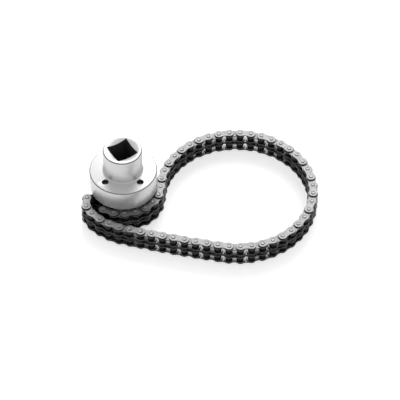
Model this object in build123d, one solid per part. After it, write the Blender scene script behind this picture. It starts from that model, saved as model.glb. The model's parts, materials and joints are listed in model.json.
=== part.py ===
from build123d import *
import cmath
import math
import os

# Chain oil filter wrench: a turned head with a square drive socket, and an endless
# two-strand chain that winds round its drum, leaves as a loop for the filter and
# comes back over the first winding.
# Millimetres. +Z is up along the drive axis, +X points at the loop, and the origin
# lies on the drive axis in the plane that the head stands on.

# Driving dimensions: chain
PITCH = 6.35
STRAND_SPACING = 6.4
ROLLER_WIDTH = 3.1
ROLLER_DIAMETER = 4.05
PIN_DIAMETER = 2.31
INNER_HEIGHT = 5.9
INNER_WAIST = 4.5
INNER_PLATE = 0.72
OUTER_HEIGHT = 5.2
OUTER_WAIST = 4.0
OUTER_PLATE = 0.75
RIVET_ROOM = 0.35
SIDE_PLAY = 0.08
BORE_PLAY = 0.05

# Driving dimensions: head
DRIVE_SQUARE = 12.8
DRIVE_DEPTH = 17.0
DRIVE_TURN = 32.0
LEAD_IN_ANGLE = 65.0
BOSS_DIAMETER = 22.1
SHOULDER_DIAMETER = 38.6
RING_RADIUS = 21.1
BASE_THICKNESS = 1.2
SHOULDER_HEIGHT = 13.2
BOSS_HEIGHT = 16.2
EDGE_BREAK = 0.5
FOOT_FILLET = 0.8
DOWEL_DIAMETER = 3.9
DOWEL_ANGLES = (-135.0, -45.0)
DOWEL_RECESS = 2.0

# Clearances
DRUM_GAP = 0.25
BASE_GAP = 0.15
ROOF_GAP = 0.5
POCKET_GAP = 0.35
DOWEL_PLAY = 0.03

# Lay of the chain, seen from above: angles in degrees, drops and rises from the drum's
# ring of pins in pitches, steps in links of that ring
RING_START = -122.0
RING_LINKS = 7
FREE_LINKS = 46
LOOP_JOINTS = 33
LANDING_JOINTS = 4
LANDING_TURN = 9.0
EXIT_HEADING = 84.0
ANCHOR_DROP = 0.913
RETURN_ANCHOR_DROP = 0.74
RETURN_ANCHOR_STEPS = 1.78
RETURN_RISES = (0.236, 0.756, 0.961)
DOWEL_DROP = 1.118

# Straight sides that draw the round end of a link plate
END_SIDES = 6

# Heights that follow
STRAND_HALF = ROLLER_WIDTH / 2 + INNER_PLATE
CENTRE_PLATE = STRAND_SPACING - 2 * (STRAND_HALF + SIDE_PLAY)
CHAIN_HEIGHT = STRAND_SPACING + 2 * (STRAND_HALF + SIDE_PLAY + OUTER_PLATE)
CHAIN_BOTTOM = BASE_THICKNESS + BASE_GAP + RIVET_ROOM
CHAIN_MIDDLE = CHAIN_BOTTOM + CHAIN_HEIGHT / 2
SHOULDER_BOTTOM = CHAIN_BOTTOM + CHAIN_HEIGHT + RIVET_ROOM + ROOF_GAP
SHOULDER_TOP = SHOULDER_BOTTOM + SHOULDER_HEIGHT
BOSS_TOP = SHOULDER_TOP + BOSS_HEIGHT
DRUM_RADIUS = RING_RADIUS - INNER_HEIGHT / 2 - DRUM_GAP
DOWEL_RADIUS = RING_RADIUS - DOWEL_DROP * PITCH
RING_STEP = 2 * math.degrees(math.asin(PITCH / 2 / RING_RADIUS))


def polar(radius, degrees):
    """A point in plan as a complex number."""
    return cmath.rect(radius, math.radians(degrees))


def step_to_radius(pin, radius, turn):
    """The next pin: one pitch from this one and at this radius from the drive axis.

    turn is 1 for the counter-clockwise side of the line to the axis, -1 for the other.
    """
    far = abs(pin)
    along = (far**2 + radius**2 - PITCH**2) / (2 * far)
    across = math.sqrt(radius**2 - along**2)
    return pin / far * complex(along, turn * across)


def ring_pins():
    """Pins on the drum, counter-clockwise from the pocket's mouth."""
    return [polar(RING_RADIUS, RING_START + k * RING_STEP) for k in range(RING_LINKS + 1)]


def return_pins():
    """Pins of the run that comes back, from inside the pocket outwards."""
    angle = RING_START - RETURN_ANCHOR_STEPS * RING_STEP
    pins = [polar(RING_RADIUS - RETURN_ANCHOR_DROP * PITCH, angle)]
    for rise in RETURN_RISES:
        turn = -1 if len(pins) == 1 else 1
        pins.append(step_to_radius(pins[-1], RING_RADIUS + rise * PITCH, turn))
    return pins


def anchor_pins(first, last):
    """Three links bridge two pins evenly round the dowel: the two pins between them."""
    span = last - first
    along = span / abs(span)
    lead = (abs(span) - PITCH) / 2
    depth = math.sqrt(PITCH**2 - lead**2)
    second = first + along * complex(lead, -depth)
    return [second, second + along * PITCH]


def free_run(start, loop_turn, near_turn):
    """Pins of the free run: a round loop, a nearly straight run, then the landing."""
    near_joints = FREE_LINKS - LOOP_JOINTS - LANDING_JOINTS
    turns = [loop_turn] * LOOP_JOINTS + [near_turn] * near_joints
    turns += [LANDING_TURN] * LANDING_JOINTS
    pins = [start]
    heading = EXIT_HEADING
    for turn in turns:
        pins.append(pins[-1] + polar(PITCH, heading))
        heading -= turn
    return pins


def closed_run(start, goal):
    """The free run whose two turns bring its last pin onto the goal."""
    turns = [8.3, 2.5]
    small = 1e-4
    for _ in range(30):
        miss = free_run(start, *turns)[-1] - goal
        if abs(miss) < 1e-9:
            break
        by_loop = (free_run(start, turns[0] + small, turns[1])[-1] - goal - miss) / small
        by_near = (free_run(start, turns[0], turns[1] + small)[-1] - goal - miss) / small
        area = by_loop.real * by_near.imag - by_loop.imag * by_near.real
        turns[0] -= (miss.real * by_near.imag - miss.imag * by_near.real) / area
        turns[1] -= (by_loop.real * miss.imag - by_loop.imag * miss.real) / area
    return free_run(start, *turns)


def chain_pins():
    """Every pin in order: pocket, drum, loop and return, back to the pocket."""
    ring = ring_pins()
    home = return_pins()
    first = step_to_radius(ring[0], RING_RADIUS - ANCHOR_DROP * PITCH, 1)
    hidden = anchor_pins(first, home[0])[::-1] + [first]
    free = closed_run(ring[-1], home[-1])
    return hidden + ring + free[1:] + home[-2::-1]


def plate(height, narrow, thickness, bottom):
    """A waisted link plate from the pin at the origin to the pin one pitch along +X.

    Its curves are drawn in a few straight sides, because the chain has 210 plates.
    """
    end = height / 2
    waist = narrow / 2
    middle = PITCH / 2
    hollow = (middle**2 + waist**2 - end**2) / (2 * (end - waist))
    lean = math.degrees(math.atan2(waist + hollow, middle))
    side = (360 - 2 * lean) / END_SIDES
    near = [polar(end, lean + k * side) for k in range(END_SIDES + 1)]
    far = [PITCH - point for point in near]
    outline = near + [complex(middle, -waist)] + far + [complex(middle, waist)]
    corners = [(point.real, point.imag) for point in outline]
    return Pos(0, 0, bottom) * extrude(make_face(Polyline(*corners, close=True)), thickness)


def round_bar(diameter, bottom, top, x=0.0):
    """An upright cylinder between two heights."""
    bar = Cylinder(diameter / 2, top - bottom, align=(Align.CENTER, Align.CENTER, Align.MIN))
    return Pos(x, 0, bottom) * bar


def outer_link():
    """Two outer plates and a centre plate riveted on two through pins."""
    half = CHAIN_HEIGHT / 2
    link = plate(OUTER_HEIGHT, OUTER_WAIST, CENTRE_PLATE, -CENTRE_PLATE / 2)
    link += plate(OUTER_HEIGHT, OUTER_WAIST, OUTER_PLATE, half - OUTER_PLATE)
    link += plate(OUTER_HEIGHT, OUTER_WAIST, OUTER_PLATE, -half)
    for x in (0.0, PITCH):
        link += round_bar(PIN_DIAMETER, -half, half, x)
    return link


def inner_strand(middle):
    """Two inner plates pressed on two bored rollers."""
    low = middle - STRAND_HALF
    high = middle + STRAND_HALF
    strand = plate(INNER_HEIGHT, INNER_WAIST, INNER_PLATE, low)
    strand += plate(INNER_HEIGHT, INNER_WAIST, INNER_PLATE, high - INNER_PLATE)
    for x in (0.0, PITCH):
        strand += round_bar(ROLLER_DIAMETER, low, high, x)
    for x in (0.0, PITCH):
        strand -= round_bar(PIN_DIAMETER + 2 * BORE_PLAY, low - 1, high + 1, x)
    return strand


def inner_link():
    """The inner link of the two-strand chain, one piece in each strand."""
    return [inner_strand(-STRAND_SPACING / 2), inner_strand(STRAND_SPACING / 2)]


def placed(shape, start, end):
    """A link laid with its first pin on start and its second towards end."""
    turn = math.degrees(cmath.phase(end - start))
    return Pos(start.real, start.imag, CHAIN_MIDDLE) * Rot(0, 0, turn) * shape


def pocket(pins):
    """The hollow that the anchored links lie in, open at the drum's side."""
    radius = INNER_HEIGHT / 2 + POCKET_GAP
    rings = [Pos(pin.real, pin.imag) * Circle(radius) for pin in pins]
    hull = make_hull([edge for ring in rings for edge in ring.edges()])
    height = SHOULDER_BOTTOM - BASE_THICKNESS
    return Pos(0, 0, BASE_THICKNESS) * extrude(hull, height)


def head(pins):
    """The turned head: base, drum, shoulder and boss with its drive socket."""
    boss = BOSS_DIAMETER / 2
    shoulder = SHOULDER_DIAMETER / 2
    profile = Polyline(
        (0, 0),
        (DRUM_RADIUS - EDGE_BREAK, 0),
        (DRUM_RADIUS, EDGE_BREAK),
        (DRUM_RADIUS, SHOULDER_BOTTOM),
        (shoulder - EDGE_BREAK, SHOULDER_BOTTOM),
        (shoulder, SHOULDER_BOTTOM + EDGE_BREAK),
        (shoulder, SHOULDER_TOP - EDGE_BREAK),
        (shoulder - EDGE_BREAK, SHOULDER_TOP),
        (boss, SHOULDER_TOP),
        (boss, BOSS_TOP - EDGE_BREAK),
        (boss - EDGE_BREAK, BOSS_TOP),
        (0, BOSS_TOP),
        close=True,
    )
    body = revolve(Plane.XZ * make_face(profile), Axis.Z)
    foot = body.edges().filter_by(GeomType.CIRCLE)
    foot = [e for e in foot if abs(e.radius - boss) < 1e-6 and e.center().Z < SHOULDER_TOP + 0.01]
    body = fillet(foot, FOOT_FILLET)
    socket = Pos(0, 0, BOSS_TOP - DRIVE_DEPTH) * Rot(0, 0, DRIVE_TURN)
    body -= socket * Box(
        DRIVE_SQUARE, DRIVE_SQUARE, DRIVE_DEPTH + 1, align=(Align.CENTER, Align.CENTER, Align.MIN)
    )
    corner = DRIVE_SQUARE / math.sqrt(2)
    depth = corner / math.tan(math.radians(LEAD_IN_ANGLE))
    body -= Pos(0, 0, BOSS_TOP - depth) * Cone(
        0, corner, depth, align=(Align.CENTER, Align.CENTER, Align.MIN)
    )
    body -= pocket(pins)
    for angle in DOWEL_ANGLES:
        spot = polar(DOWEL_RADIUS, angle)
        hole = round_bar(DOWEL_DIAMETER + 2 * DOWEL_PLAY, BASE_THICKNESS / 2, BOSS_TOP)
        body -= Pos(spot.real, spot.imag) * hole
    return body


def dowels():
    """The anchor dowel in the pocket and its twin in the drum."""
    bars = []
    for angle in DOWEL_ANGLES:
        spot = polar(DOWEL_RADIUS, angle)
        bar = round_bar(DOWEL_DIAMETER, BASE_THICKNESS / 2, SHOULDER_TOP - DOWEL_RECESS)
        bars.append(Pos(spot.real, spot.imag) * bar)
    return bars


def link_name(index, count):
    """Where a link lies: in the pocket, on the drum, free, or on the return."""
    drum = 3 + RING_LINKS
    free = drum + FREE_LINKS
    if index < 3 or index >= count - 2:
        return "anchor_inner_links" if index % 2 == 0 else "anchor_outer_links"
    kind = "inner" if index % 2 == 0 else "outer"
    if index < drum:
        return f"drum_{kind}_link_{index - 2}"
    if index < free:
        return f"loop_{kind}_link_{index - drum + 1:02d}"
    return f"return_{kind}_link_{index - free + 1}"


def main():
    os.makedirs("parts", exist_ok=True)
    pins = chain_pins()
    count = len(pins)
    outer = outer_link()
    inner = inner_link()
    nodes = {"head": [head(pins[:3] + pins[-2:] + [pins[3]])], "anchor_dowels": dowels()}
    for index, start in enumerate(pins):
        end = pins[(index + 1) % count]
        shapes = inner if index % 2 == 0 else [outer]
        solids = [placed(shape, start, end) for shape in shapes]
        nodes.setdefault(link_name(index, count), []).extend(solids)
    for name, solids in nodes.items():
        shape = solids[0] if len(solids) == 1 else Compound(children=solids)
        export_step(shape, f"parts/{name}.step")


main()
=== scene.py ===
import json
import math

import bmesh
import bpy
from bpy.props import FloatProperty, FloatVectorProperty, PointerProperty
from bpy.types import Operator, Panel, PropertyGroup
from mathutils import Matrix, Vector


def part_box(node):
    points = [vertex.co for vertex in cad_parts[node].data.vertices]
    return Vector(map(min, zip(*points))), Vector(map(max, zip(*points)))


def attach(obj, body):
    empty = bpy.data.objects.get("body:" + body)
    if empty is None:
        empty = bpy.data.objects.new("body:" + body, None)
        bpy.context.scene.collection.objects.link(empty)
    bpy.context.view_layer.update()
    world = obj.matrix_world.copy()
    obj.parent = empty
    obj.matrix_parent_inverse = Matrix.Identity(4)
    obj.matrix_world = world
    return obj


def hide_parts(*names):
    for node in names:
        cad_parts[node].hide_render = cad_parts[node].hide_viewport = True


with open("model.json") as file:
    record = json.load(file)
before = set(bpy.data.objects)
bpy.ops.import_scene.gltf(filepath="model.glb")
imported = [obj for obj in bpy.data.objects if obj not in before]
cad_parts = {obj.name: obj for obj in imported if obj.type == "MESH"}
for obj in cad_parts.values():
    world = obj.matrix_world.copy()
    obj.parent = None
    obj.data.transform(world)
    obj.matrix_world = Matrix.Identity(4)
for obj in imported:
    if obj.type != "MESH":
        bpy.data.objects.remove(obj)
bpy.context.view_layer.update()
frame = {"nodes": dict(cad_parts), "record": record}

bl_info = {
    "name": "Chain Oil Filter Wrench",
    "version": (1, 0, 0),
    "blender": (4, 5, 0),
    "location": "3D Viewport > Sidebar > Chain Wrench",
    "description": "Builds the dressed chain oil filter wrench round its solid frame",
    "category": "Add Mesh",
}

MM = 0.001


def run_of_links(start):
    """The link nodes whose names begin with a word, in the order of their numbers."""
    nodes = [node for node in frame["nodes"] if node.startswith(start)]
    return sorted(nodes, key=lambda node: int(node.rsplit("_", 1)[1]))


# Links that show, from the drum round the loop and back
DRUM_LINKS = run_of_links("drum_")
SHOWN_LINKS = DRUM_LINKS + run_of_links("loop_") + run_of_links("return_")
BODY_OF = {
    node: body
    for body, nodes in frame["record"]["behaviour"]["bodies"].items()
    for node in nodes
}
HEAD_LOW, HEAD_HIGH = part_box("head")
LINK_LOW, LINK_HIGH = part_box(DRUM_LINKS[0])
DOWEL_LOW, DOWEL_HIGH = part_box("anchor_dowels")
DOWEL_RADIUS = (DOWEL_HIGH.y - DOWEL_LOW.y) / 2
DOWEL_SPOTS = [
    Vector((x, (DOWEL_LOW.y + DOWEL_HIGH.y) / 2))
    for x in (DOWEL_LOW.x + DOWEL_RADIUS, DOWEL_HIGH.x - DOWEL_RADIUS)
]
CHAIN_MIDDLE = (LINK_LOW.z + LINK_HIGH.z) / 2
SMOOTH_ANGLE = math.radians(32)

# Head: how its drive square lies, and its small roundings
SOCKET_TURN = math.radians(32)
SOCKET_SLOPE = math.radians(65)
TURNING_STEPS = 144
CORNER_ROUNDING = 0.12 * MM
FOOT_FILLET = 0.8 * MM
POCKET_GAP = 0.35 * MM
POCKET_FLOOR = 1.2 * MM
HOLE_SIDES = 40

# Chain: facets of its arcs and bars, and their small roundings
END_STEPS = 12
WAIST_STEPS = 4
BAR_SIDES = 24
PIN_ROUNDING = 0.16 * MM
PIN_DISH = 0.1 * MM
DISH_SHARE = 0.35
ROLLER_ROUNDING = 0.15 * MM
ROLLER_PLAY = 0.04 * MM
DOWEL_ROUNDING = 0.3 * MM

# Faces whose normal rises less than this count as upright, and get the painted shade of the side
# steel
UPRIGHT = 0.3


def length(name, description, default):
    """A size in metres that a user may change."""
    return FloatProperty(
        name=name, description=description, default=default, unit="LENGTH", min=0.0
    )


def colour(name, description, default):
    """A base colour that a user may change."""
    return FloatVectorProperty(
        name=name, description=description, default=default, subtype="COLOR",
        size=3, min=0.0, max=1.0,
    )


class HeadSizes(PropertyGroup):
    """Sizes of the turned head."""

    boss_radius: length("Boss radius", "Radius of the boss round the socket", 11.05 * MM)
    shoulder_radius: length("Shoulder radius", "Radius of the shoulder", HEAD_HIGH.x)
    drum_radius: length("Drum radius", "Radius that the chain winds on", 17.9 * MM)
    shoulder_low: length("Shoulder underside", "Height of the shoulder's underside", 15.15 * MM)
    shoulder_top: length("Shoulder top", "Height of the shoulder's top face", 28.35 * MM)
    socket_side: length("Socket square", "Width across the drive square", 12.8 * MM)
    socket_depth: length("Socket depth", "Depth of the drive square", 17.0 * MM)
    dowel_hole: length("Dowel hole", "Radius of the two dowel holes", 1.98 * MM)
    rim: length("Edge break", "Width of the broken edges", 0.5 * MM)


class ChainSizes(PropertyGroup):
    """Sizes of one link of the two-strand chain."""

    pitch: length("Pitch", "Distance from pin to pin", 6.35 * MM)
    strand_spacing: length("Strand spacing", "Height between the two strands", 6.4 * MM)
    roller_width: length("Roller width", "Width between the inner plates", 3.1 * MM)
    roller_radius: length("Roller radius", "Radius of a roller", 2.025 * MM)
    pin_radius: length("Pin radius", "Radius of a pin", 1.155 * MM)
    inner_end: length("Inner plate end", "Radius of an inner plate's ends", 2.95 * MM)
    inner_waist: length("Inner plate waist", "Half height of its waist", 2.25 * MM)
    outer_end: length("Outer plate end", "Radius of an outer plate's ends", 2.6 * MM)
    outer_waist: length("Outer plate waist", "Half height of its waist", 2.0 * MM)
    inner_plate: length("Inner plate", "Thickness of an inner plate", 0.72 * MM)
    outer_plate: length("Outer plate", "Thickness of an outer plate", 0.75 * MM)
    side_play: length("Side play", "Gap between inner and outer plates", 0.08 * MM)
    pin_head: length("Pin head", "Height of a riveted pin head", 0.35 * MM)
    rounding: length("Plate rounding", "Rounding of a plate's edges", 0.11 * MM)


class FinishColours(PropertyGroup):
    """Base colours of the finishes."""

    satin: colour("Satin steel", "Turned and plated head", (0.72, 0.72, 0.72))
    # Darker base for the broken rims: partly real reflection of the darker surround, partly a
    # painted dark line
    rim: colour("Edge steel", "Broken edges of the head", (0.36, 0.36, 0.36))
    plate: colour("Plate steel", "Outer link plates", (0.25, 0.25, 0.25))
    inner: colour("Inner plate steel", "Inner link plates", (0.23, 0.23, 0.235))
    pin: colour("Pin steel", "Riveted pins", (0.34, 0.34, 0.35))
    # Near-black base for the rollers: painted shade between the plates
    roller: colour("Roller steel", "Dark oiled rollers", (0.016, 0.016, 0.021))
    # Near-black base for the upright sides of plates and pins: painted shade on the sides
    edge: colour("Plate edges", "Sheared edges of the plates", (0.024, 0.024, 0.029))
    # Near-black base for the socket and hole walls: painted shade in the hollows
    socket: colour("Socket steel", "Walls of the socket and the holes", (0.07, 0.07, 0.07))
    # Dark base for the dowels: painted shade at the bottom of their holes
    dowel: colour("Dowel steel", "Dowels deep in their holes", (0.12, 0.12, 0.12))
    backdrop: colour("Backdrop", "Pale floor", (0.93, 0.93, 0.93))


# Meshes

def keep_mesh(name, bm, body, materials):
    """Turns a bmesh into a finished piece that rides on a body."""
    bmesh.ops.recalc_face_normals(bm, faces=bm.faces[:])
    mesh = bpy.data.meshes.new(name)
    bm.to_mesh(mesh)
    bm.free()
    for material in materials:
        mesh.materials.append(material)
    soften(mesh)
    piece = bpy.data.objects.new(name, mesh)
    bpy.context.scene.collection.objects.link(piece)
    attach(piece, body)
    return piece


def soften(mesh):
    """Smooth shading, with edges sharper than SMOOTH_ANGLE kept crisp."""
    mesh.shade_smooth()
    mesh.set_sharp_from_angle(angle=SMOOTH_ANGLE)


def spin_vertex(bm, vertex, centre, angle, steps):
    """Draws an arc from a vertex and returns the arc's last vertex."""
    arc = bmesh.ops.spin(
        bm, geom=[vertex], cent=centre, axis=(0, 0, 1), angle=angle, steps=steps,
        use_merge=False, use_duplicate=False, dvec=(0, 0, 0),
    )
    return next(g for g in arc["geom_last"] if isinstance(g, bmesh.types.BMVert))


def add_plate(bm, sizes, end, waist, thickness, bottom):
    """A waisted plate with rounded edges, from the pin at the origin along +X.

    Its faces take material 0 and its sheared edge takes material 1, the painted shade of the sides.
    """
    middle = sizes.pitch / 2
    hollow = (middle**2 + waist**2 - end**2) / (2 * (end - waist))
    lean = math.atan2(waist + hollow, middle)
    part = bmesh.new()
    touch = end * Vector((math.cos(lean), math.sin(lean), 0))
    start = part.verts.new(touch)
    round_end = 2 * math.pi - 2 * lean
    dip = 2 * lean - math.pi
    v = spin_vertex(part, start, (0, 0, 0), round_end, END_STEPS)
    v = spin_vertex(part, v, (middle, -waist - hollow, 0), dip, WAIST_STEPS)
    v = spin_vertex(part, v, (2 * middle, 0, 0), round_end, END_STEPS)
    spin_vertex(part, v, (middle, waist + hollow, 0), dip, WAIST_STEPS)
    bmesh.ops.remove_doubles(part, verts=part.verts[:], dist=1e-6)
    bmesh.ops.contextual_create(part, geom=part.edges[:])
    wall = bmesh.ops.extrude_face_region(part, geom=part.faces[:])
    top = [g for g in wall["geom"] if isinstance(g, bmesh.types.BMVert)]
    bmesh.ops.translate(part, verts=top, vec=(0, 0, thickness))
    rims = [e for e in part.edges if abs(e.verts[0].co.z - e.verts[1].co.z) < 1e-7]
    bmesh.ops.bevel(
        part, geom=rims, offset=sizes.rounding, segments=1, profile=0.5,
        affect="EDGES", material=-1,
    )
    bmesh.ops.translate(part, verts=part.verts[:], vec=(0, 0, bottom))
    paint_shaded_sides(part)
    join(bm, part)


def paint_shaded_sides(bm):
    """Gives upright faces material 1, the painted shade of the sides, and all others material 0."""
    bm.normal_update()
    for face in bm.faces:
        face.material_index = 1 if abs(face.normal.z) < UPRIGHT else 0


def join(bm, part):
    """Adds one bmesh to another."""
    scratch = bpy.data.meshes.new("scratch")
    part.to_mesh(scratch)
    part.free()
    bm.from_mesh(scratch)
    bpy.data.meshes.remove(scratch)


def add_bar(bm, radius, low, high, x, rounding, dish=0.0):
    """An upright round bar with rounded rims, and a shallow dish in each end."""
    part = bmesh.new()
    bmesh.ops.create_cone(
        part, cap_ends=True, segments=BAR_SIDES, radius1=radius, radius2=radius, depth=high - low,
    )
    caps = [f for f in part.faces if abs(f.normal.z) > 0.9]
    rims = [e for f in caps for e in f.edges]
    bmesh.ops.bevel(
        part, geom=rims, offset=rounding, segments=2, profile=0.5,
        affect="EDGES", material=-1,
    )
    if dish:
        caps = [f for f in part.faces if abs(f.normal.z) > 0.99]
        for cap in caps:
            side = 1 if cap.calc_center_median().z > 0 else -1
            rim = DISH_SHARE * radius
            bmesh.ops.inset_region(part, faces=[cap], thickness=rim, depth=0.0)
            bmesh.ops.translate(part, verts=cap.verts[:], vec=(0, 0, -side * dish))
    bmesh.ops.translate(part, verts=part.verts[:], vec=(x, 0, (low + high) / 2))
    join(bm, part)


def outer_plates(sizes):
    """The three plates of an outer link."""
    bm = bmesh.new()
    half = chain_half(sizes)
    centre = sizes.strand_spacing / 2 - strand_half(sizes) - sizes.side_play
    thick = sizes.outer_plate
    outline = (sizes.outer_end, sizes.outer_waist)
    add_plate(bm, sizes, *outline, thick, half - sizes.pin_head - thick)
    add_plate(bm, sizes, *outline, thick, sizes.pin_head - half)
    add_plate(bm, sizes, *outline, 2 * centre, -centre)
    return bm


def outer_pins(sizes):
    """The two riveted pins of an outer link."""
    bm = bmesh.new()
    half = chain_half(sizes)
    for x in (0.0, sizes.pitch):
        add_bar(bm, sizes.pin_radius, -half, half, x, PIN_ROUNDING, PIN_DISH)
    # Upright sides of the pins get the painted shade of the side steel
    paint_shaded_sides(bm)
    return bm


def inner_plates(sizes):
    """The four plates of an inner link, two in each strand."""
    bm = bmesh.new()
    thick = sizes.inner_plate
    outline = (sizes.inner_end, sizes.inner_waist)
    for side in (-1, 1):
        middle = side * sizes.strand_spacing / 2
        add_plate(bm, sizes, *outline, thick, middle + sizes.roller_width / 2)
        add_plate(bm, sizes, *outline, thick, middle - strand_half(sizes))
    return bm


def inner_rollers(sizes):
    """The four rollers of an inner link."""
    bm = bmesh.new()
    half = sizes.roller_width / 2 - ROLLER_PLAY
    for side in (-1, 1):
        middle = side * sizes.strand_spacing / 2
        for x in (0.0, sizes.pitch):
            low, high = middle - half, middle + half
            add_bar(bm, sizes.roller_radius, low, high, x, ROLLER_ROUNDING)
    return bm


def strand_half(sizes):
    """Half the width of a strand over its inner plates."""
    return sizes.roller_width / 2 + sizes.inner_plate


def chain_half(sizes):
    """Half the height of the chain over its pin heads."""
    strand = sizes.strand_spacing / 2 + strand_half(sizes) + sizes.side_play
    return strand + sizes.outer_plate + sizes.pin_head


def link_places(sizes):
    """Where each link that shows lies in the frame: node name to matrix.

    The hinges give the free pins, and the links' middles give the pins on either side.
    """
    middles = [(low + high) / 2 for low, high in (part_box(node) for node in SHOWN_LINKS)]
    hinges = frame["record"]["behaviour"]["joints"]
    first = len(DRUM_LINKS)
    pins = {first + k: Vector(hinge["pos_m"]) for k, hinge in enumerate(hinges)}
    for k in range(first - 1, -1, -1):
        pins[k] = 2 * middles[k] - pins[k + 1]
    for k in range(first + len(hinges), len(SHOWN_LINKS) + 1):
        pins[k] = 2 * middles[k - 1] - pins[k - 1]
    places = {}
    for k, node in enumerate(SHOWN_LINKS):
        along = pins[k + 1] - pins[k]
        turned = Matrix.Rotation(math.atan2(along.y, along.x), 4, "Z")
        start = Matrix.Translation((pins[k].x, pins[k].y, CHAIN_MIDDLE))
        places[node] = start @ turned
    return places


def lay_links(kind, part, make, materials, replaces):
    """Lays one part of every outer or inner link along the chain."""
    sizes = bpy.context.scene.chain_sizes
    pattern = bpy.data.meshes.new("pattern")
    bm = make(sizes)
    bm.to_mesh(pattern)
    bm.free()
    for node, place in link_places(sizes).items():
        if kind not in node:
            continue
        bm = bmesh.new()
        bm.from_mesh(pattern)
        bmesh.ops.transform(bm, matrix=place, verts=bm.verts[:])
        piece = keep_mesh(f"{node}_{part}", bm, BODY_OF[node], materials)
        if replaces:
            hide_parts(node)
    bpy.data.meshes.remove(pattern)


# Materials

GRAIN_SCALE = 2600.0
RELIEF_DEPTH = 0.02 * MM


def new_group(name, inputs, outputs):
    """An empty shader group with named float or vector sockets."""
    group = bpy.data.node_groups.new(name, "ShaderNodeTree")
    for socket, kind, default in inputs:
        item = group.interface.new_socket(name=socket, in_out="INPUT", socket_type=kind)
        if default is not None:
            item.default_value = default
    for socket, kind in outputs:
        group.interface.new_socket(name=socket, in_out="OUTPUT", socket_type=kind)
    start = group.nodes.new("NodeGroupInput")
    end = group.nodes.new("NodeGroupOutput")
    return group, start, end


def turned_group():
    """Fine lines left by the lathe: rings on flat faces, hoops on round ones."""
    found = bpy.data.node_groups.get("turned_lines")
    if found:
        return found
    group, start, end = new_group(
        "turned_lines",
        [
            ("Position", "NodeSocketVector", None),
            ("Lines", "NodeSocketFloat", 900.0),
            ("Low", "NodeSocketFloat", 0.2),
            ("High", "NodeSocketFloat", 0.3),
        ],
        [("Height", "NodeSocketFloat"), ("Roughness", "NodeSocketFloat")],
    )
    nodes, links = group.nodes, group.links
    split = nodes.new("ShaderNodeSeparateXYZ")
    links.new(start.outputs["Position"], split.inputs[0])
    flat = nodes.new("ShaderNodeCombineXYZ")
    links.new(split.outputs["X"], flat.inputs["X"])
    links.new(split.outputs["Y"], flat.inputs["Y"])
    radius = nodes.new("ShaderNodeVectorMath")
    radius.operation = "LENGTH"
    links.new(flat.outputs[0], radius.inputs[0])
    place = nodes.new("ShaderNodeMath")
    place.operation = "ADD"
    links.new(radius.outputs["Value"], place.inputs[0])
    links.new(split.outputs["Z"], place.inputs[1])
    scaled = nodes.new("ShaderNodeMath")
    scaled.operation = "MULTIPLY"
    links.new(place.outputs[0], scaled.inputs[0])
    links.new(start.outputs["Lines"], scaled.inputs[1])
    lines = nodes.new("ShaderNodeTexNoise")
    lines.noise_dimensions = "1D"
    lines.inputs["Scale"].default_value = 1.0
    lines.inputs["Detail"].default_value = 2.0
    links.new(scaled.outputs[0], lines.inputs["W"])
    links.new(lines.outputs["Fac"], end.inputs["Height"])
    spread = nodes.new("ShaderNodeMapRange")
    links.new(lines.outputs["Fac"], spread.inputs["Value"])
    links.new(start.outputs["Low"], spread.inputs["To Min"])
    links.new(start.outputs["High"], spread.inputs["To Max"])
    links.new(spread.outputs["Result"], end.inputs["Roughness"])
    return group


def worn_group():
    """Handling marks: a soft patchy tint with fine scratches over a base colour."""
    found = bpy.data.node_groups.get("worn_tint")
    if found:
        return found
    group, start, end = new_group(
        "worn_tint",
        [
            ("Position", "NodeSocketVector", None),
            ("Base", "NodeSocketColor", (0.5, 0.5, 0.5, 1.0)),
            ("Dark", "NodeSocketFloat", 0.8),
            ("Patch Scale", "NodeSocketFloat", 150.0),
            ("Low", "NodeSocketFloat", 0.25),
            ("High", "NodeSocketFloat", 0.45),
        ],
        [
            ("Color", "NodeSocketColor"),
            ("Roughness", "NodeSocketFloat"),
            ("Height", "NodeSocketFloat"),
        ],
    )
    nodes, links = group.nodes, group.links
    patch = nodes.new("ShaderNodeTexNoise")
    patch.inputs["Detail"].default_value = 4.0
    links.new(start.outputs["Position"], patch.inputs["Vector"])
    links.new(start.outputs["Patch Scale"], patch.inputs["Scale"])
    shade = nodes.new("ShaderNodeMapRange")
    shade.inputs["From Min"].default_value = 0.3
    shade.inputs["From Max"].default_value = 0.7
    shade.inputs["To Max"].default_value = 1.0
    links.new(patch.outputs["Fac"], shade.inputs["Value"])
    links.new(start.outputs["Dark"], shade.inputs["To Min"])
    tint = nodes.new("ShaderNodeVectorMath")
    tint.operation = "SCALE"
    links.new(start.outputs["Base"], tint.inputs[0])
    links.new(shade.outputs["Result"], tint.inputs["Scale"])
    links.new(tint.outputs["Vector"], end.inputs["Color"])
    grain = nodes.new("ShaderNodeTexNoise")
    grain.inputs["Scale"].default_value = GRAIN_SCALE
    grain.inputs["Detail"].default_value = 2.0
    links.new(start.outputs["Position"], grain.inputs["Vector"])
    links.new(grain.outputs["Fac"], end.inputs["Height"])
    rough = nodes.new("ShaderNodeMapRange")
    links.new(patch.outputs["Fac"], rough.inputs["Value"])
    links.new(start.outputs["Low"], rough.inputs["To Max"])
    links.new(start.outputs["High"], rough.inputs["To Min"])
    links.new(rough.outputs["Result"], end.inputs["Roughness"])
    return group


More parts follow.
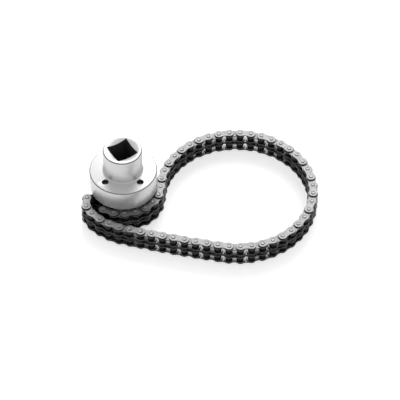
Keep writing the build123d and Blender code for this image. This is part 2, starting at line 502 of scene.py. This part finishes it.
def steel(name, base, metallic, low, high, dark=0.85, lines=0.0, bump=0.1, patch=150.0):
    """A steel finish: worn tint and grain, with lathe lines where wanted.

    Roughness runs from low to high, dark is how far worn patches fall below the base
    colour, lines and patch are scales per metre, and bump is the relief's strength.
    """
    material = bpy.data.materials.get(name)
    if material:
        return material
    material = bpy.data.materials.new(name)
    material.use_nodes = True
    nodes, links = material.node_tree.nodes, material.node_tree.links
    shader = nodes["Principled BSDF"]
    shader.inputs["Metallic"].default_value = metallic
    place = nodes.new("ShaderNodeTexCoord")
    worn = nodes.new("ShaderNodeGroup")
    worn.node_tree = worn_group()
    worn.inputs["Base"].default_value = (*base, 1.0)
    worn.inputs["Dark"].default_value = dark
    worn.inputs["Patch Scale"].default_value = patch
    worn.inputs["Low"].default_value = low
    worn.inputs["High"].default_value = high
    links.new(place.outputs["Object"], worn.inputs["Position"])
    links.new(worn.outputs["Color"], shader.inputs["Base Color"])
    relief = nodes.new("ShaderNodeBump")
    relief.inputs["Strength"].default_value = bump
    relief.inputs["Distance"].default_value = RELIEF_DEPTH
    links.new(relief.outputs["Normal"], shader.inputs["Normal"])
    if lines:
        turned = nodes.new("ShaderNodeGroup")
        turned.node_tree = turned_group()
        turned.inputs["Lines"].default_value = lines
        turned.inputs["Low"].default_value = low
        turned.inputs["High"].default_value = high
        links.new(place.outputs["Object"], turned.inputs["Position"])
        links.new(turned.outputs["Height"], relief.inputs["Height"])
        links.new(turned.outputs["Roughness"], shader.inputs["Roughness"])
    else:
        links.new(worn.outputs["Height"], relief.inputs["Height"])
        links.new(worn.outputs["Roughness"], shader.inputs["Roughness"])
    return material


def satin_steel():
    """The bright turned and plated head."""
    base = bpy.context.scene.finish_colours.satin
    return steel("satin_head_steel", base, 0.6, 0.32, 0.42, dark=0.96, lines=9000.0, bump=0.12)


def rim_shade_steel():
    """The broken edges of the head: mirror-like steel that reflects the darker surround, with a
    base colour half the head's that paints a dark line along the rims.
    """
    base = bpy.context.scene.finish_colours.rim
    return steel("painted_rim_shade_steel", base, 1.0, 0.2, 0.3, dark=0.8, bump=0.1, patch=300.0)


def plate_steel():
    """Outer plates: tumbled, bright steel."""
    base = bpy.context.scene.finish_colours.plate
    return steel("outer_plate_steel", base, 1.0, 0.3, 0.42, dark=0.82, bump=0.2, patch=420.0)


def inner_steel():
    """Inner plates: the same steel, oily and darker."""
    base = bpy.context.scene.finish_colours.inner
    return steel("inner_plate_steel", base, 1.0, 0.3, 0.42, dark=0.7, bump=0.2, patch=420.0)


def side_shade_steel():
    """Upright sides of the plates and pins, nearly black: painted shade on the sides."""
    base = bpy.context.scene.finish_colours.edge
    return steel("painted_side_shade_steel", base, 1.0, 0.3, 0.5, dark=0.7, bump=0.2, patch=420.0)


def socket_shade_steel():
    """Walls of the socket and the dowel holes, nearly black: painted shade in the hollows."""
    base = bpy.context.scene.finish_colours.socket
    return steel("socket_shade_steel", base, 0.3, 0.45, 0.6, dark=0.8, bump=0.1, patch=200.0)


def pin_steel():
    """Riveted pin ends."""
    base = bpy.context.scene.finish_colours.pin
    return steel("pin_steel", base, 0.85, 0.28, 0.42, dark=0.8, bump=0.2, patch=500.0)


def roller_shade_steel():
    """Rollers: nearly black, painted shade between the plates."""
    base = bpy.context.scene.finish_colours.roller
    return steel("roller_shade_steel", base, 1.0, 0.22, 0.38, dark=0.6, bump=0.15, patch=300.0)


def dowel_steel():
    """Dowels, with a dark base colour that paints the shade at the bottom of their holes."""
    base = bpy.context.scene.finish_colours.dowel
    return steel("dowel_steel", base, 0.7, 0.35, 0.5, dark=0.8, bump=0.1, patch=300.0)


# Head

def head_profile(bm, sizes):
    """Half the head's outline, from the middle of the base up to the socket's rim."""
    rim = sizes.rim
    shoulder, drum, boss = sizes.shoulder_radius, sizes.drum_radius, sizes.boss_radius
    low, top, end = sizes.shoulder_low, sizes.shoulder_top, HEAD_HIGH.z
    mouth = sizes.socket_side / math.sqrt(2)
    places = [(0, 0), (drum - rim, 0), (drum, rim), (drum, low)]
    places += [(shoulder - rim, low), (shoulder, low + rim)]
    places += [(shoulder, top - rim), (shoulder - rim, top)]
    places += arc_places(boss + FOOT_FILLET, top + FOOT_FILLET, FOOT_FILLET, 270, 180)
    places += [(boss, end - rim), (boss - rim, end), (mouth, end)]
    verts = [bm.verts.new((r, 0, z)) for r, z in places]
    line = [bm.edges.new(pair) for pair in zip(verts, verts[1:])]
    corners = [verts[k] for k in (1, 2, 4, 5, 6, 7, -3, -2)]
    bmesh.ops.bevel(
        bm, geom=corners, offset=CORNER_ROUNDING, segments=2, profile=0.5,
        affect="VERTICES", material=-1,
    )
    return line


def arc_places(x, z, radius, start, end, steps=4):
    """Points on an arc of the outline, both ends included."""
    angles = [math.radians(start + (end - start) * k / steps) for k in range(steps + 1)]
    return [(x + radius * math.cos(a), z + radius * math.sin(a)) for a in angles]


def square_reach(angle, side):
    """How far the drive square's wall is from the axis at an angle."""
    folded = (angle + math.pi / 4) % (math.pi / 2) - math.pi / 4
    return side / 2 / math.cos(folded)


def cut_socket(bm, sizes):
    """Takes the open rim down a shallow cone to the square, and down to the floor."""
    rim = [e for e in bm.edges if e.is_boundary and e.calc_length() > 1e-6]
    top = HEAD_HIGH.z
    rim = [e for e in rim if min(v.co.z for v in e.verts) > top - 1e-6]
    mouth = sizes.socket_side / math.sqrt(2)
    ring = bmesh.ops.extrude_edge_only(bm, edges=rim)["geom"]
    for vert in (g for g in ring if isinstance(g, bmesh.types.BMVert)):
        angle = math.atan2(vert.co.y, vert.co.x) - SOCKET_TURN
        reach = square_reach(angle, sizes.socket_side)
        drop = (mouth - reach) / math.tan(SOCKET_SLOPE)
        vert.co = Vector((vert.co.x, vert.co.y, 0)).normalized() * reach
        vert.co.z = top - drop
    edges = [g for g in ring if isinstance(g, bmesh.types.BMEdge)]
    wall = bmesh.ops.extrude_edge_only(bm, edges=edges)["geom"]
    for vert in (g for g in wall if isinstance(g, bmesh.types.BMVert)):
        vert.co.z = top - sizes.socket_depth
    floor = [g for g in wall if isinstance(g, bmesh.types.BMEdge)]
    bmesh.ops.contextual_create(bm, geom=floor)


def cutter(name, bm):
    """A hidden object that a Boolean takes away, removed afterwards."""
    bmesh.ops.recalc_face_normals(bm, faces=bm.faces[:])
    mesh = bpy.data.meshes.new(name)
    bm.to_mesh(mesh)
    bm.free()
    tool = bpy.data.objects.new(name, mesh)
    bpy.context.scene.collection.objects.link(tool)
    return tool


def dowel_cutter(sizes):
    """Two round bars where the dowel holes are."""
    bm = bmesh.new()
    low, high = DOWEL_LOW.z, sizes.shoulder_top + sizes.rim
    for spot in DOWEL_SPOTS:
        made = bmesh.ops.create_cone(
            bm, cap_ends=True, segments=HOLE_SIDES, radius1=sizes.dowel_hole,
            radius2=sizes.dowel_hole, depth=high - low,
        )
        bmesh.ops.translate(bm, verts=made["verts"], vec=(*spot, (low + high) / 2))
    return cutter("dowel_cutter", bm)


def pocket_cutter(sizes):
    """The hollow round the anchored links: their hull, let out by a small gap."""
    bm = bmesh.new()
    for node in ("anchor_inner_links", "anchor_outer_links"):
        for vertex in frame["nodes"][node].data.vertices:
            bm.verts.new((vertex.co.x, vertex.co.y, CHAIN_MIDDLE))
    bmesh.ops.remove_doubles(bm, verts=bm.verts[:], dist=1e-5)
    middle = sum((v.co for v in bm.verts), Vector()) / len(bm.verts)
    for sign in (-1, 1):
        bm.verts.new(middle + Vector((0, 0, sign * MM)))
    made = bmesh.ops.convex_hull(bm, input=bm.verts[:])
    loose = {g for g in made["geom_interior"] if isinstance(g, bmesh.types.BMVert)}
    flat = [v for v in bm.verts if v not in loose and abs(v.co.z - CHAIN_MIDDLE) < 1e-7]
    low, high = POCKET_FLOOR, sizes.shoulder_low
    outline = sorted(
        {(round(v.co.x, 7), round(v.co.y, 7)) for v in flat},
        key=lambda p: math.atan2(p[1] - middle.y, p[0] - middle.x),
    )
    bm.free()
    bm = bmesh.new()
    ring = [bm.verts.new((x, y, low)) for x, y in outline]
    base = bm.faces.new(ring)
    bm.normal_update()
    for loop in base.loops:
        before = (loop.vert.co - loop.link_loop_prev.vert.co).normalized()
        after = (loop.link_loop_next.vert.co - loop.vert.co).normalized()
        side = (before + after).normalized()
        outward = Vector((side.y, -side.x, 0)) * (1 if base.normal.z > 0 else -1)
        loop.vert.co += POCKET_GAP * outward
    top = bmesh.ops.extrude_face_region(bm, geom=[base])["geom"]
    verts = [g for g in top if isinstance(g, bmesh.types.BMVert)]
    bmesh.ops.translate(bm, verts=verts, vec=(0, 0, high - low))
    return cutter("pocket_cutter", bm)


def subtract(piece, tool):
    """Cuts a tool out of a piece for good."""
    change = piece.modifiers.new("cut", "BOOLEAN")
    change.operation = "DIFFERENCE"
    change.solver = "EXACT"
    change.object = tool
    graph = bpy.context.evaluated_depsgraph_get()
    mesh = bpy.data.meshes.new_from_object(piece.evaluated_get(graph))
    piece.modifiers.clear()
    old = piece.data
    piece.data = mesh
    mesh.name = old.name + "_cut"
    bpy.data.meshes.remove(old)
    bpy.data.objects.remove(tool)


def mark_finishes(piece, sizes):
    """Gives the hollows the painted shade of the socket steel and the broken edges the painted dark
    line of the rim steel.
    """
    mouth = sizes.socket_side / math.sqrt(2)
    rims = ((sizes.boss_radius, HEAD_HIGH.z), (sizes.shoulder_radius, sizes.shoulder_top))
    for face in piece.data.polygons:
        place, height = face.center.xy, face.center.z
        deep = height < sizes.shoulder_top - 0.01 * MM
        # Faces in the dowel holes and the socket walls get material 1, the painted shade of the
        # socket steel
        hole = deep and any((place - spot).length < 1.02 * sizes.dowel_hole for spot in DOWEL_SPOTS)
        above = height > HEAD_HIGH.z - 1.01 * sizes.socket_depth
        upright = abs(face.normal.z) < 0.2 or height < HEAD_HIGH.z - mouth
        socket = above and upright and place.length < 0.999 * mouth
        # Sloped faces of the broken rims get material 2, the painted dark line of the rim steel
        sloped = 0.25 < abs(face.normal.z) < 0.97
        rim = sloped and any(
            abs(place.length - radius) < sizes.rim and abs(height - top) < sizes.rim
            for radius, top in rims
        )
        face.material_index = 1 if hole or socket else 2 if rim else 0


# Operators

class BuildHead(Operator):
    """Turn the head, with its drive socket, dowel holes and pocket"""

    bl_idname = "wrench.build_head"
    bl_label = "Head"

    def execute(self, context):
        sizes = context.scene.head_sizes
        bm = bmesh.new()
        head_profile(bm, sizes)
        bmesh.ops.spin(
            bm, geom=bm.verts[:] + bm.edges[:], cent=(0, 0, 0), axis=(0, 0, 1), angle=2 * math.pi,
            steps=TURNING_STEPS, use_merge=True, use_duplicate=False, dvec=(0, 0, 0),
        )
        bmesh.ops.remove_doubles(bm, verts=bm.verts[:], dist=1e-7)
        turned = Matrix.Rotation(SOCKET_TURN, 3, "Z")
        bmesh.ops.rotate(bm, verts=bm.verts[:], cent=(0, 0, 0), matrix=turned)
        cut_socket(bm, sizes)
        finishes = [satin_steel(), socket_shade_steel(), rim_shade_steel()]
        piece = keep_mesh("turned_head", bm, "head", finishes)
        subtract(piece, dowel_cutter(sizes))
        subtract(piece, pocket_cutter(sizes))
        mark_finishes(piece, sizes)
        soften(piece.data)
        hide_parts("head")
        return {"FINISHED"}


class BuildDowels(Operator):
    """Make the two dowels with rounded ends"""

    bl_idname = "wrench.build_dowels"
    bl_label = "Dowels"

    def execute(self, context):
        bm = bmesh.new()
        for spot in DOWEL_SPOTS:
            add_bar(bm, DOWEL_RADIUS, DOWEL_LOW.z, DOWEL_HIGH.z, spot.x, DOWEL_ROUNDING)
        bmesh.ops.translate(bm, verts=bm.verts[:], vec=(0, DOWEL_SPOTS[0].y, 0))
        piece = keep_mesh("dowel_pair", bm, "head", [dowel_steel()])
        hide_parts("anchor_dowels")
        return {"FINISHED"}


class BuildOuterLinks(Operator):
    """Lay the plates and riveted pins of every outer link"""

    bl_idname = "wrench.build_outer_links"
    bl_label = "Outer Links"

    def execute(self, context):
        lay_links("outer", "plates", outer_plates, [plate_steel(), side_shade_steel()], True)
        lay_links("outer", "pins", outer_pins, [pin_steel(), side_shade_steel()], False)
        return {"FINISHED"}


class BuildInnerLinks(Operator):
    """Lay the plates and rollers of every inner link"""

    bl_idname = "wrench.build_inner_links"
    bl_label = "Inner Links"

    def execute(self, context):
        lay_links("inner", "plates", inner_plates, [inner_steel(), side_shade_steel()], True)
        lay_links("inner", "rollers", inner_rollers, [roller_shade_steel()], False)
        return {"FINISHED"}


class ShadeAnchorLinks(Operator):
    """Give the links inside the head's pocket the painted shade of the side and roller steels"""

    bl_idname = "wrench.dress_anchor_links"
    bl_label = "Anchored Links"

    def execute(self, context):
        # Both finishes are nearly black: painted shade in the pocket
        for node, finish in (
            ("anchor_outer_links", side_shade_steel), ("anchor_inner_links", roller_shade_steel)
        ):
            mesh = frame["nodes"][node].data
            mesh.materials.clear()
            mesh.materials.append(finish())
        return {"FINISHED"}


class BuildStage(Operator):
    """Set the pale floor, the soft lamp, the surround and the camera"""

    bl_idname = "wrench.build_stage"
    bl_label = "Stage"

    def execute(self, context):
        floor_material = backdrop_material(context.scene.finish_colours.backdrop)
        bm = bmesh.new()
        bmesh.ops.create_grid(bm, x_segments=1, y_segments=1, size=FLOOR_HALF_WIDTH)
        mesh = bpy.data.meshes.new("floor")
        bm.to_mesh(mesh)
        bm.free()
        mesh.materials.append(floor_material)
        floor = bpy.data.objects.new("floor", mesh)
        context.scene.collection.objects.link(floor)
        add_lamp("key_lamp", LAMP_PLACE, LAMP_SIDE, LAMP_POWER)
        set_world()
        set_camera()
        return {"FINISHED"}


# Stage

AIM = Vector((43.7, -11.3, 14.65)) * MM
CAMERA_DISTANCE = 1.1
CAMERA_ELEVATION = math.radians(48.5)
CAMERA_LENS = 173.7
SENSOR_WIDTH = 36.0
LAMP_PLACE = (0.15, 0.9, 0.9)
LAMP_SIDE = 0.8
LAMP_POWER = 6.0
# Surround: its strength on the lit side and on the camera's side, and where it changes
SURROUND_TOP = 0.64
SURROUND_FRONT = 0.55
LIT_SIDE = (0.0, 0.62, 0.78)
CHANGE_START = -0.1
CHANGE_END = 0.75
FLOOR_HALF_WIDTH = 3.0
FLOOR_LIFT = 0.5


def backdrop_material(base):
    """The pale floor: white to the camera, pale in what it throws back."""
    material = bpy.data.materials.new("backdrop")
    material.use_nodes = True
    nodes, links = material.node_tree.nodes, material.node_tree.links
    shader = nodes["Principled BSDF"]
    shader.inputs["Base Color"].default_value = (*base, 1.0)
    shader.inputs["Roughness"].default_value = 0.9
    shader.inputs["Specular IOR Level"].default_value = 0.0
    seen = nodes.new("ShaderNodeLightPath")
    lift = nodes.new("ShaderNodeMath")
    lift.operation = "MULTIPLY"
    lift.inputs[1].default_value = FLOOR_LIFT
    direct = nodes.new("ShaderNodeMath")
    direct.operation = "MAXIMUM"
    links.new(seen.outputs["Is Camera Ray"], direct.inputs[0])
    links.new(seen.outputs["Is Glossy Ray"], direct.inputs[1])
    links.new(direct.outputs[0], lift.inputs[0])
    shader.inputs["Emission Color"].default_value = (1.0, 1.0, 1.0, 1.0)
    links.new(lift.outputs[0], shader.inputs["Emission Strength"])
    return material


def add_lamp(name, place, size, power):
    """A square soft lamp that looks at the object."""
    lamp = bpy.data.lights.new(name, "AREA")
    lamp.shape = "SQUARE"
    lamp.size = size
    lamp.energy = power
    holder = bpy.data.objects.new(name, lamp)
    holder.location = place
    holder.rotation_euler = (AIM - Vector(place)).to_track_quat("-Z", "Y").to_euler()
    bpy.context.scene.collection.objects.link(holder)
    return holder


def set_world():
    """A white surround, a little darker on the camera's side."""
    world = bpy.data.worlds.new("surround")
    bpy.context.scene.world = world
    world.use_nodes = True
    nodes, links = world.node_tree.nodes, world.node_tree.links
    sky = nodes["Background"]
    sky.inputs["Color"].default_value = (1.0, 1.0, 1.0, 1.0)
    place = nodes.new("ShaderNodeTexCoord")
    side = nodes.new("ShaderNodeVectorMath")
    side.operation = "DOT_PRODUCT"
    side.inputs[1].default_value = LIT_SIDE
    links.new(place.outputs["Generated"], side.inputs[0])
    level = nodes.new("ShaderNodeMapRange")
    level.interpolation_type = "SMOOTHSTEP"
    level.inputs["From Min"].default_value = CHANGE_START
    level.inputs["From Max"].default_value = CHANGE_END
    level.inputs["To Min"].default_value = SURROUND_FRONT
    level.inputs["To Max"].default_value = SURROUND_TOP
    links.new(side.outputs["Value"], level.inputs["Value"])
    links.new(level.outputs["Result"], sky.inputs["Strength"])


def set_camera():
    """The camera at the photographed angle."""
    data = bpy.data.cameras.new("camera")
    data.lens = CAMERA_LENS
    data.sensor_width = SENSOR_WIDTH
    camera = bpy.data.objects.new("camera", data)
    back = Vector((0, -math.cos(CAMERA_ELEVATION), math.sin(CAMERA_ELEVATION)))
    camera.location = AIM + CAMERA_DISTANCE * back
    camera.rotation_euler = (-back).to_track_quat("-Z", "Y").to_euler()
    scene = bpy.context.scene
    scene.collection.objects.link(camera)
    scene.camera = camera
    scene.view_settings.view_transform = "Standard"


class WrenchPanel(Panel):
    """Sizes, colours and the pieces in order"""

    bl_idname = "VIEW3D_PT_chain_wrench"
    bl_label = "Chain Wrench"
    bl_space_type = "VIEW_3D"
    bl_region_type = "UI"
    bl_category = "Chain Wrench"

    def draw(self, context):
        scene = context.scene
        for group in (scene.head_sizes, scene.chain_sizes, scene.finish_colours):
            column = self.layout.column(align=True)
            for name in group.__annotations__:
                column.prop(group, name)
        for operator in OPERATORS:
            self.layout.operator(operator.bl_idname)


OPERATORS = (
    BuildHead, BuildDowels, BuildOuterLinks, BuildInnerLinks, ShadeAnchorLinks, BuildStage,
)
CLASSES = (HeadSizes, ChainSizes, FinishColours, *OPERATORS, WrenchPanel)


def register():
    for entry in CLASSES:
        bpy.utils.register_class(entry)
    bpy.types.Scene.head_sizes = PointerProperty(type=HeadSizes)
    bpy.types.Scene.chain_sizes = PointerProperty(type=ChainSizes)
    bpy.types.Scene.finish_colours = PointerProperty(type=FinishColours)


def unregister():
    del bpy.types.Scene.finish_colours
    del bpy.types.Scene.chain_sizes
    del bpy.types.Scene.head_sizes
    for entry in reversed(CLASSES):
        bpy.utils.unregister_class(entry)


def main():
    register()
    bpy.ops.wrench.build_head()
    bpy.ops.wrench.build_dowels()
    bpy.ops.wrench.build_outer_links()
    bpy.ops.wrench.build_inner_links()
    bpy.ops.wrench.dress_anchor_links()
    bpy.ops.wrench.build_stage()


if __name__ == "__main__":
    main()
